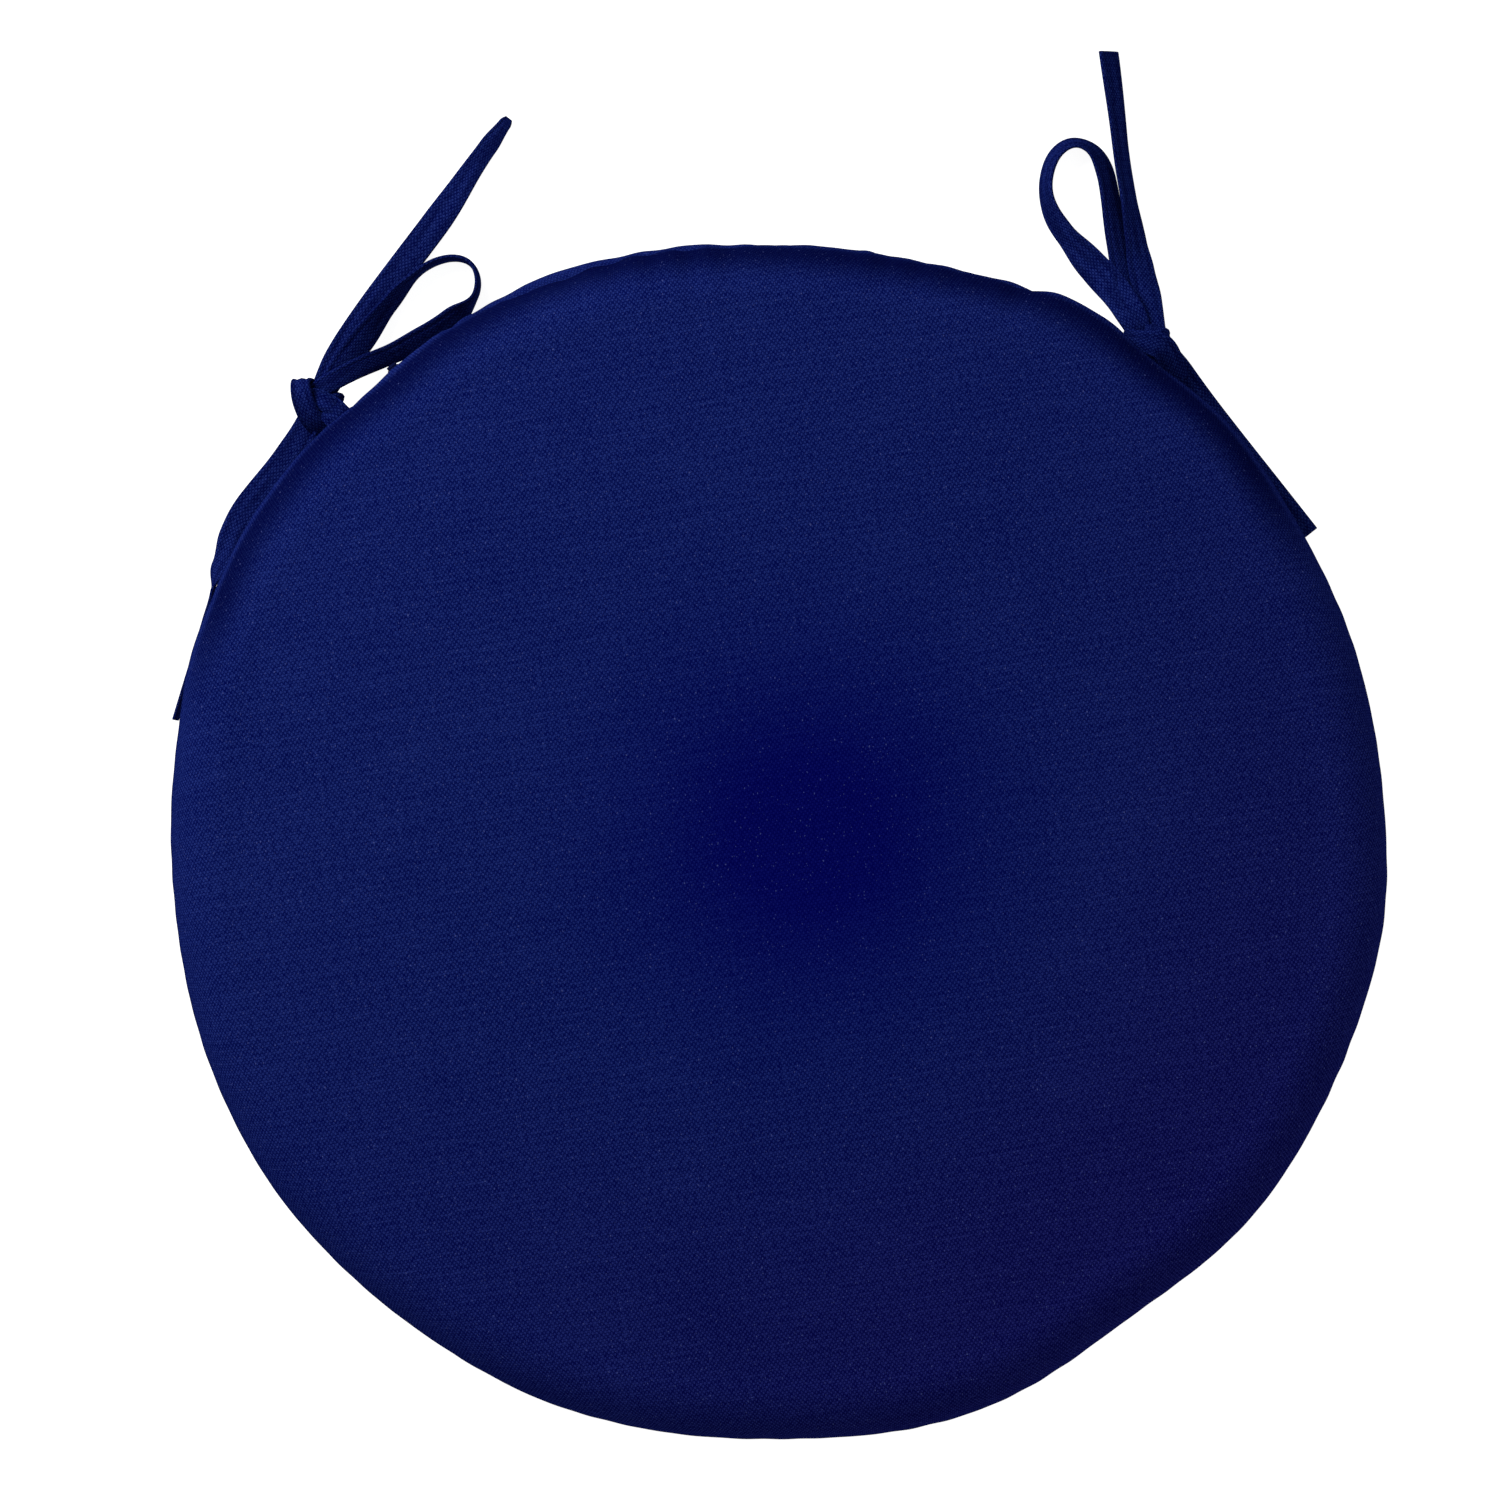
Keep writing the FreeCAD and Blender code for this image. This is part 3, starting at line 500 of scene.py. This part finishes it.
for name, (roll_stops, width_stops) in LEGS.items():
    side = -1 if "left" in name else 1
    route = np.array(ROUTES[name]) * MM + knot_centre(side)
    line, steps = smooth_line(name + "_line", route)
    share = steps / steps[-1]
    roll, width = eased(share, roll_stops), eased(share, width_stops) * MM
    half_rise = (np.abs(np.sin(np.radians(roll))) * width
                 + np.cos(np.radians(roll)) * STRAP_THICKNESS) / 2
    line[:, 2] = np.maximum(line[:, 2], half_rise + 0.1 * MM)
    leg = ribbon(name + "_strap", line, steps, roll, width, strap_cloth)
    legs[name] = (leg, line)
    print(name, "length", round(steps[-1] / MM, 1), "mm")

# %% [markdown]
# ## The knots
# A half bow's knot is the same strap again: a band that comes from the seam, one that folds over the
# legs, and the crumpled strap between them. Each band follows a short line through points given
# along the rim, out from it and up, and its face is turned where it folds.

# %% Bands of the knots
KNOT_STRAP_THICKNESS = 1.7 * MM     # a little swollen where it folds


def local_axes(side):
    """Along the rim, out from it, and up, at a tie: along runs clockwise seen from above."""
    sine, cosine = side * math.sin(TIE_ANGLE), math.cos(TIE_ANGLE)
    return np.array([[cosine, -sine, 0], [sine, cosine, 0], [0, 0, 1]])


def band(name, side, points, sides, widths, pleat, level=False):
    """A strap through points, with its width along the given sides, squeezed into pleats. The
    points are along the rim, outwards and up, or with level set, to the right, backwards and up."""
    axes, centre = np.eye(3) if level else local_axes(side), knot_centre(side)
    controls = np.array(points, float) * MM @ axes + centre
    line, steps = smooth_line(name + "_line", controls, spacing=0.5 * MM)
    share = steps / steps[-1]
    across_at = np.linspace(0, 1, len(sides))
    given = np.array(sides, float) @ axes
    side_way = np.stack([np.interp(share, across_at, given[:, k]) for k in range(3)], 1)
    along = np.gradient(line, axis=0)
    along /= np.linalg.norm(along, axis=1)[:, None]
    side_way -= along * (side_way * along).sum(1)[:, None]
    side_way /= np.linalg.norm(side_way, axis=1)[:, None]
    face = np.cross(along, side_way)
    width = eased(share, widths) * MM
    across, through = ribbon_section(36)
    fold = pleat * MM * np.cos(across * 2 * math.pi * 2.5 + share[:, None] * 2)
    grown = line[:, None] + side_way[:, None] * (across[None, :, None] * width[:, None, None])
    grown = grown + face[:, None] * (through * KNOT_STRAP_THICKNESS + fold)[..., None]
    return wrapped(name, grown, across * width.max(), through * KNOT_STRAP_THICKNESS, steps,
                   strap_cloth)


def crumple(name, side, middle, radii, seed):
    """The bunched strap inside a knot: a rounded lump with folds. Each point is the middle plus a
    direction times the radii, pushed in and out by a few waves."""
    chance = np.random.default_rng(seed)
    turn = np.linspace(0, 2 * math.pi, 40, endpoint=False)
    tilt = np.linspace(0, math.pi, 26)[1:-1]
    t, p = np.meshgrid(turn, tilt)
    shape = np.stack([np.cos(t) * np.sin(p), np.sin(t) * np.sin(p), np.cos(p)], -1)
    folds = sum(chance.uniform(0.03, 0.08) * np.cos(k * t + chance.uniform(0, 6) + 2 * p)
                for k in (3, 5, 7, 9))
    grid = shape * (1 + folds * np.sin(p))[..., None] * np.array(radii) * MM
    poles = np.array([[0, 0, radii[2]], [0, 0, -radii[2]]]) * MM
    points, faces, uv = closed_tube(grid, poles, np.stack([t, p], -1) * 6 * MM,
                                    np.array([[0, 0], [0, 3]]) * 6 * MM)
    points = (points + np.array(middle) * MM) @ local_axes(side) + knot_centre(side)
    return mesh_piece(name, points, faces, uv, strap_cloth)


# %% Knots and sewn ends
knot_parts = {
    "left": [
        band("tie_left_knot_fold", -1,
             [(-3, 4.5, 13), (-5.4, 7, 14), (-7.2, 8.4, 17), (-7.5, 7.4, 21), (-7.3, 4, 22.8),
              (-6.6, 0, 22.4), (-5.5, -3.5, 21), (-3.5, -6.5, 19), (-1.5, -8.5, 16.5)],
             [(1, 0, 0), (1, 0, 0), (1, 0, 0), (1, 0, 0), (1, 0, 0), (1, -.1, 0), (1, -.1, 0),
              (1, 0, 0), (1, 0.1, 0)],
             [(0, 6), (0.35, 6.4), (0.6, 7.2), (1, 8)], pleat=0.25, level=True),
        band("tie_left_knot_middle", -1,
             [(4.5, -4.5, 21), (3, -2, 22.2), (0, 0.5, 21.6), (-3, 2.2, 19.5), (-5.5, 3, 16.5)],
             [(.4, 1, 0), (.4, 1, 0), (.3, 1, 0), (.2, 1, 0), (.2, 1, 0)],
             [(0, 5), (0.5, 6.5), (1, 6)], pleat=0.35, level=True),
        crumple("tie_left_knot_core", -1, (-0.5, 0.5, 15), (6.5, 5.5, 5), seed=21),
    ],
    "right": [
        band("tie_right_knot_fold", 1,
             [(-9.8, -7.2, 20.2), (-6.8, -6.2, 22), (-3, -4.6, 23.2), (1.5, -2.2, 23.2),
              (5.5, -2.9, 20.5), (9.5, -5.2, 16.5), (13.5, -6.8, 12.5)],
             [(0, 1, 0), (-.2, 1, 0), (-.3, 1, .1), (0, 1, 0), (.4, 1, 0), (.5, 1, 0), (.45, 1, 0)],
             [(0, 6.2), (0.2, 7), (0.4, 8.8), (0.6, 9.4), (1, 9)], pleat=0.25),
        crumple("tie_right_knot_core", 1, (-1, -0.5, 15), (6.5, 5, 5), seed=22),
    ],
}
roots = {
    "left": band("tie_left_root", -1,
                 [(-0.2, -13, 22.1), (-0.2, -9.4, 22.2), (-0.2, -6.5, 22.6), (0, -3.5, 21.8),
                  (-0.5, -1, 19.5), (-2, 1.5, 16)],
                 [(1, 0, 0), (1, 0, 0), (1, 0.1, 0), (1, .2, 0), (.9, .3, 0), (.8, .4, 0)],
                 [(0, 9.8), (0.5, 9.4), (1, 8)], pleat=0.15),
    "right": band("tie_right_root", 1,
                  [(-1, -13, 22.1), (-1, -9, 22.2), (-1, -6, 21.5), (0, -3, 19.5), (1, 0, 16)],
                  [(1, 0, 0), (1, 0, 0), (1, 0, 0), (1, 0, 0), (1, 0, 0)],
                  [(0, 9.6), (1, 7.5)], pleat=0.15),
}
print("knot pieces:", sum(len(parts) for parts in knot_parts.values()) + len(roots))

# %% [markdown]
# ## The outline of the cushion
# The outline is a circle with the flats and bulges of a hand-filled pad. At the back the seam has
# crept inwards, and the lower panel stands out past it. Where the zipper's pull swings, seam and rim
# keep to the circle.

# %% Outline and seam round the cushion
BASE, TOP = 0.0, 50 * MM
OUTLINE = (  # degrees from the right, half width in degrees, and how far out the rim goes, mm
    (302, 11, -4.6), (206, 19, 2.7), (266, 14, -2.6), (79, 12, -1.3), (108, 12, 4.2),
    (348, 9, 1.6), (168, 12, 1.4), (20, 14, 0.9), (40, 9, 3.2), (56, 8, 4.4), (120, 5, 1.5),
    (134, 7, 3.8), (146, 9, 5.2), (158, 6, 2.4), (242, 6, 0.8),
)
SEAM_CREEP = (  # the same for how far in the seam has crept from the rim
    (108, 8, 4.6), (93, 10, 2.4), (72, 9, 1.6), (60, 6, 2.2), (47, 6, 1.4), (133, 7, 1.2),
    (148, 7, 0.6),
)
OUTLINE_SHRINK = 0.3 * MM
BACK = 90                           # degrees from the right
TIES = (BACK + TIE_DEGREES, BACK - TIE_DEGREES)
ZIPPER_HALF_ANGLE = 36
CLOSED_SLIDER, ZIPPER_TRAVEL = 124.67, 69.33
SLIDER_ANGLES = (CLOSED_SLIDER, CLOSED_SLIDER - ZIPPER_TRAVEL)     # closed and open


def away(degrees, middle):
    """How many degrees a direction is from another one, the short way round."""
    return (degrees - middle + 180) % 360 - 180


def hill(degrees, middle, half_width):
    return np.exp(-(away(degrees, middle) / half_width) ** 2)


def wander(degrees, waves, seed):
    """Unevenness round a ring: a sum of waves, whole numbers of them, each with a chance size and
    phase. Its usual size is 1."""
    chance = np.random.default_rng(seed)
    total = np.zeros_like(degrees, float)
    for count in waves:
        total += chance.normal() * np.cos(np.radians(degrees) * count + chance.uniform(0, 6.283))
    return total / math.sqrt(len(waves) / 2)


def at_the_back(degrees, soft=4):
    """1 along the zipper and 0 elsewhere, with soft ends."""
    return 1 / (1 + np.exp((np.abs(away(degrees, BACK)) - ZIPPER_HALF_ANGLE) / (soft / 4)))


def at_a_slider(degrees):
    """1 where the pull swings when the zipper is closed or open, and 0 elsewhere, with flat tops."""
    notches = sum(np.exp(-(away(degrees, middle) / 4.8) ** 6) for middle in SLIDER_ANGLES)
    return np.clip(notches, 0, 1)


def outline_radius(degrees, past_slider=False):
    """The cushion's widest ring. It stays clear of the slider, unless it is to pass over it."""
    out = sum(size * hill(degrees, middle, width) for middle, width, size in OUTLINE)
    out = out + 0.08 * wander(degrees, range(9, 22), 3)
    clear = 1 if past_slider else 1 - at_a_slider(degrees)
    return SEAM_RADIUS - OUTLINE_SHRINK + out * clear * MM


def seam_inset(degrees):
    """How far inside the widest ring the seam runs, at the back where the seam shows from above."""
    inset = sum(size * hill(degrees, middle, width) for middle, width, size in SEAM_CREEP)
    return inset * (1 - at_a_slider(degrees)) * MM


def seam_line(degrees):
    """Radius and height of the seam, with small waves where the cloth is gathered into it."""
    ripple = wander(degrees, range(62, 118), 5)
    back = at_the_back(degrees) * (1 - at_a_slider(degrees))
    radius = outline_radius(degrees) - seam_inset(degrees) + ripple * (0.03 + 0.3 * back) * MM
    height = SEAM_HEIGHT + (0.35 * wander(degrees, range(5, 17), 8) * (1 - at_the_back(degrees, 8))
                            + 0.08 * ripple) * MM
    return radius, height


def slot_height(degrees):
    """The gap between the two folded edges: closed by its stitches, open along the zipper, and
    open by a strap's thickness at each tie."""
    strap = sum(np.clip(2.2 - np.abs(away(degrees, a)), 0, 1) for a in TIES)
    open_to = at_the_back(degrees, 2)
    return (0.16 + 1.5 * np.maximum(open_to, np.clip(strap, 0, 1))) * MM


all_round = np.arange(360)
print("outline from", round(outline_radius(all_round).min() / MM, 1), "to",
      round(outline_radius(all_round).max() / MM, 1), "mm from the middle")

# %% [markdown]
# ## The profile of a panel
# Seen along the seam, each panel is a shallow dome that turns down round the rim. On top of that come
# the swellings: the lower panel stands out past a seam that has crept in, the upper one puffs out
# over the slider, and the cloth is gathered where it is sewn. Lastly the knife edge is drawn out.

# %% From the middle to the seam
ALLOWANCE = 4.6 * MM                # turned in, and stopping short of the zipper's coils
UPPER_RIM, LOWER_RIM = 22.5 * MM, 21.5 * MM
DOME_DROP = 6 * MM                  # how much lower the upper panel is where its rim starts


def swellings(degrees, side, below):
    """How far the cloth stands out from its plain profile, at a distance below or above the seam."""
    seam, widest = seam_line(degrees)[0], outline_radius(degrees)
    out = 0
    if side < 0:        # the lower panel bulges past a seam that has crept in
        out = (widest - seam) * np.clip(below / (4.0 * MM), 0, 1) ** 0.6 * (
            np.cos(np.clip((below - 4 * MM) / (16 * MM), 0, 1) * math.pi / 2) ** 1.2)
    if side > 0:        # and above the zipper's slider the upper panel puffs out past it
        puff = 1.1 * (outline_radius(degrees, past_slider=True) - widest)
        out = puff * np.clip((below - 3 * MM) / (3 * MM), 0, 1) ** 0.6 * (
            np.cos(np.clip((below - 8 * MM) / (18 * MM), 0, 1) * math.pi / 2) ** 1.2)
        # at the back a shallow groove runs just inside the edge
        out = out - 0.9 * hill(degrees, 95, 60) * np.exp(
            -((below - 10 * MM) / (3.5 * MM)) ** 2) * MM
    # gathers: they start at the seam, fade up the rim, and differ on the two panels
    gather = wander(degrees, range(48, 112), 11 if side > 0 else 12)
    broad = wander(degrees, range(14, 34), 13 if side > 0 else 14)
    fade = np.exp(-below / (7 * MM)) * (1 - np.exp(-below / (0.8 * MM)))
    swell = broad * 0.1 * np.exp(-((below - 10 * MM) / (9 * MM)) ** 2)
    out = out + (gather * 0.12 * fade + swell) * (1 + 2 * at_the_back(degrees)) * MM
    # knife edge: the cloth is pulled out to a thin lip at the seam
    pinch = 0.6 * np.exp(-below / (1.1 * MM)) - 0.5 * np.exp(-((below - 3 * MM) / (2 * MM)) ** 2)
    return out + pinch * MM * (1 - 0.5 * at_the_back(degrees))


def half_profile(degrees, side):
    """Radius and height of a panel from its middle out to the seam's fold, and then inwards along
    the turned-in cloth. side is 1 for the upper panel and -1 for the lower one.

    Out to the rim the surface is a shallow dome, which falls slowly in the middle and faster near
    the rim. The rim is part of a superellipse between the dome and the seam."""
    seam, middle = seam_line(degrees)
    lip = middle + side * slot_height(degrees) / 2
    pole, rim, drop = (TOP, UPPER_RIM, DOME_DROP) if side > 0 else (BASE, LOWER_RIM, 0.0)
    share = np.linspace(0, 1, 34)[:, None] ** 0.9
    flat_radius = (seam - rim) * share
    flat_height = (pole - side * drop * (0.45 * share ** 2 + 0.55 * share ** 5)
                   ) * np.ones_like(seam)
    turn = np.linspace(0, 1, 30)[1:, None] * (math.pi / 2)
    height = lip + (pole - side * drop - lip) * np.cos(turn) ** 0.96
    radius = seam - rim + rim * np.sin(turn) ** 0.96 + swellings(degrees, side, np.abs(height - lip))
    inwards = np.array([0.25, 1.2, 3, ALLOWANCE / MM])[:, None] * MM
    tucked = side * np.array([0.05, 0.06, 0.06, 0.06])[:, None] * MM
    return (np.vstack([flat_radius, radius, radius[-1:] - inwards]),
            np.vstack([flat_height, height, lip - tucked]))


for side in (1, -1):
    radius, height = half_profile(np.array([0.0]), side)
    print("profile of", len(radius), "points, from", round(float(height.max()) / MM, 1), "down to",
          round(float(height.min()) / MM, 1), "mm")

# %% [markdown]
# ## The cover
# The two profiles make one closed surface: the upper panel from its middle to the seam, in along the
# turned-in cloth and out again, and the lower panel back to its middle. The cloth's UV map is laid
# out from each panel's middle, as far as the cloth reaches. The shades are kept at the points.

# %% One closed surface
COLUMNS = 900


def reached(radius, height, pole):
    """How far along the cloth each ring is from the panel's middle."""
    radius = np.vstack([np.zeros((1, COLUMNS)), radius])
    height = np.vstack([np.full((1, COLUMNS), pole), height])
    return np.cumsum(np.hypot(np.diff(radius, axis=0), np.diff(height, axis=0)), 0)


degrees = np.arange(COLUMNS) * 360 / COLUMNS
angle = np.radians(degrees)
upper_radius, upper_height = (part[1:] for part in half_profile(degrees, 1))
lower_radius, lower_height = (part[1:] for part in half_profile(degrees, -1))
radius = np.vstack([upper_radius, lower_radius[::-1]])
height = np.vstack([upper_height, lower_height[::-1]])
cover_grid = np.stack([radius * np.cos(angle), radius * np.sin(angle), height], -1)
reach = np.vstack([reached(upper_radius, upper_height, TOP),
                   reached(lower_radius, lower_height, BASE)[::-1]])
cover_uv = np.stack([reach * np.cos(angle - CLOTH_TURN), reach * np.sin(angle - CLOTH_TURN)], -1)
cover_uv[len(upper_radius):, :, 0] += 1.0      # the lower panel is another piece of the same cloth
points, faces, uv = closed_tube(cover_grid, [[0, 0, TOP], [0, 0, BASE]], cover_uv,
                                [[0, 0], [1, 0]])
cover = mesh_piece("cushion_cover", points, faces, uv, cover_cloth)
print("cover:", len(points), "points")

# %% Where the cloth is painted without sheen, and painted with shade round the rim and in creases
# painted lack of sheen: the cloth is painted darker and bluer in a soft spot round the middle of the
# top
NO_SHEEN_SPOT = (9 * MM, 2 * MM)
from_spot = np.hypot(points[:, 0] - NO_SHEEN_SPOT[0], points[:, 1] - NO_SHEEN_SPOT[1])
from_middle, above_seam = np.hypot(points[:, 0], points[:, 1]), points[:, 2] - SEAM_HEIGHT
around = np.degrees(np.arctan2(points[:, 1], points[:, 0]))
tone = np.clip(1.15 * np.exp(-(from_spot / (60 * MM)) ** 2), 0, 1) * (above_seam > 0)
# painted shade: duller and darker towards the rim, most on the front right, away from the key lamp
edge = smooth((from_middle - 50 * MM) / (120 * MM))
edge = 0.9 * edge * (0.05 + 0.95 * hill(around, -55, 72))
# painted shade: a dark line beside the seam all round, and a darker band in the groove just inside
# the rim at the back
back_half = smooth((72 - np.abs(away(around, 93))) / 14)
inside = (outline_radius(around, past_slider=True) - from_middle) / MM
groove = smooth((17 - inside) / 12) * smooth((inside - 1.2) / 2.5)
crease = 0.25 * np.exp(-np.abs(above_seam) / (1.5 * MM)) * (from_middle > 185 * MM)
crease = np.clip(crease + 0.78 * groove * back_half * (above_seam > 0), 0, 0.9)
for name, values in (("tone", tone), ("edge", edge), ("crease", crease)):
    layer = cover.data.attributes.new(name, "FLOAT", "POINT")
    layer.data.foreach_set("value", values)
    print(name, "from", round(float(values.min()), 2), "to", round(float(values.max()), 2))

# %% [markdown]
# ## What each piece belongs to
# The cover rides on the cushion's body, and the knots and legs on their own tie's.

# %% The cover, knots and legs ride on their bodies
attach(cover, "cushion")
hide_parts("cover_top_panel", "cover_bottom_panel", "batting_top", "batting_bottom",
            "foam_core", "seam_needle_thread", "seam_bobbin_thread", "zipper_tape_upper",
            "zipper_tape_lower", "zipper_stitches_upper", "zipper_stitches_lower")
for side, parts in knot_parts.items():
    for part in parts:
        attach(part, f"{side}_tie")
    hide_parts(f"tie_{side}_knot")
    outwards = knot_centre(-1 if side == "left" else 1) / KNOT_RADIUS
    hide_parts(f"tie_{side}_sewn_end")
    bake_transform(roots[side])
for name, (leg, line) in legs.items():
    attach(leg, "left_tie" if "left" in name else "right_tie")
    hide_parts(name)
    "object" if "loop" in name else "bare"
print("pieces that ride:", 1 + sum(map(len, knot_parts.values())) + len(roots) + len(legs))

# %% [markdown]
# ## The ready-made solids that stay
# The zipper's coils, stops, slider and pull, and the ties' bar tacks, stay as they are and get
# their finishes.

# %% Finishes of the solids that stay
for name, node in nodes.items():
    if not node.hide_render:
        finish = (navy_thread if "bartack" in name else coil_nylon if "coil" in name
                  else navy_enamel)
        node.data.materials.clear()
        node.data.materials.append(finish)
        print("kept", name, finish.name)

# %% [markdown]
# ## Floor and light
# The floor glows faintly, so that it stays white and takes almost no shadow. A large lamp at the
# back left and a weaker one at the front right light the cushion, in a pale room.

# %% Floor and light
floor = mesh_piece("floor", np.array([[-3, -3, 0], [3, -3, 0], [-3, 3, 0], [3, 3, 0]], float),
                   grid_faces(2, 2))
pale = Finish("floor_white")
floor.data.materials.append(pale.set(Base_Color=(0.3, 0.3, 0.3, 1), Roughness=0.9,
                                     Specular_IOR_Level=0.0, Emission_Color=(1, 1, 1, 1),
                                     Emission_Strength=0.93))


def area_light(name, place, size, power):
    """A square lamp that looks at the cushion's middle."""
    data = bpy.data.lights.new(name, "AREA")
    data.energy, data.size = power, size
    light = bpy.data.objects.new(name, data)
    light.location = place
    light.rotation_euler = (-Vector(place)).to_track_quat("-Z", "Y").to_euler()
    bpy.context.scene.collection.objects.link(light)


area_light("key", (-0.75, 0.85, 0.9), size=0.8, power=28.5)
area_light("fill", (0.9, -0.6, 1.2), size=1.5, power=6)
world = bpy.data.worlds.new("studio")
bpy.context.scene.world = world
world.use_nodes = True
background = world.node_tree.nodes["Background"]
background.inputs["Color"].default_value = (1, 1, 1, 1)
seen = world.node_tree.nodes.new("ShaderNodeLightPath")
strength = world.node_tree.nodes.new("ShaderNodeMapRange")
strength.inputs["To Min"].default_value = 0.38      # what lights the cushion
strength.inputs["To Max"].default_value = 1.0       # what the camera sees
world.node_tree.links.new(seen.outputs["Is Camera Ray"], strength.inputs["Value"])
world.node_tree.links.new(strength.outputs[0], background.inputs["Strength"])
bpy.context.scene.view_settings.view_transform = "Standard"
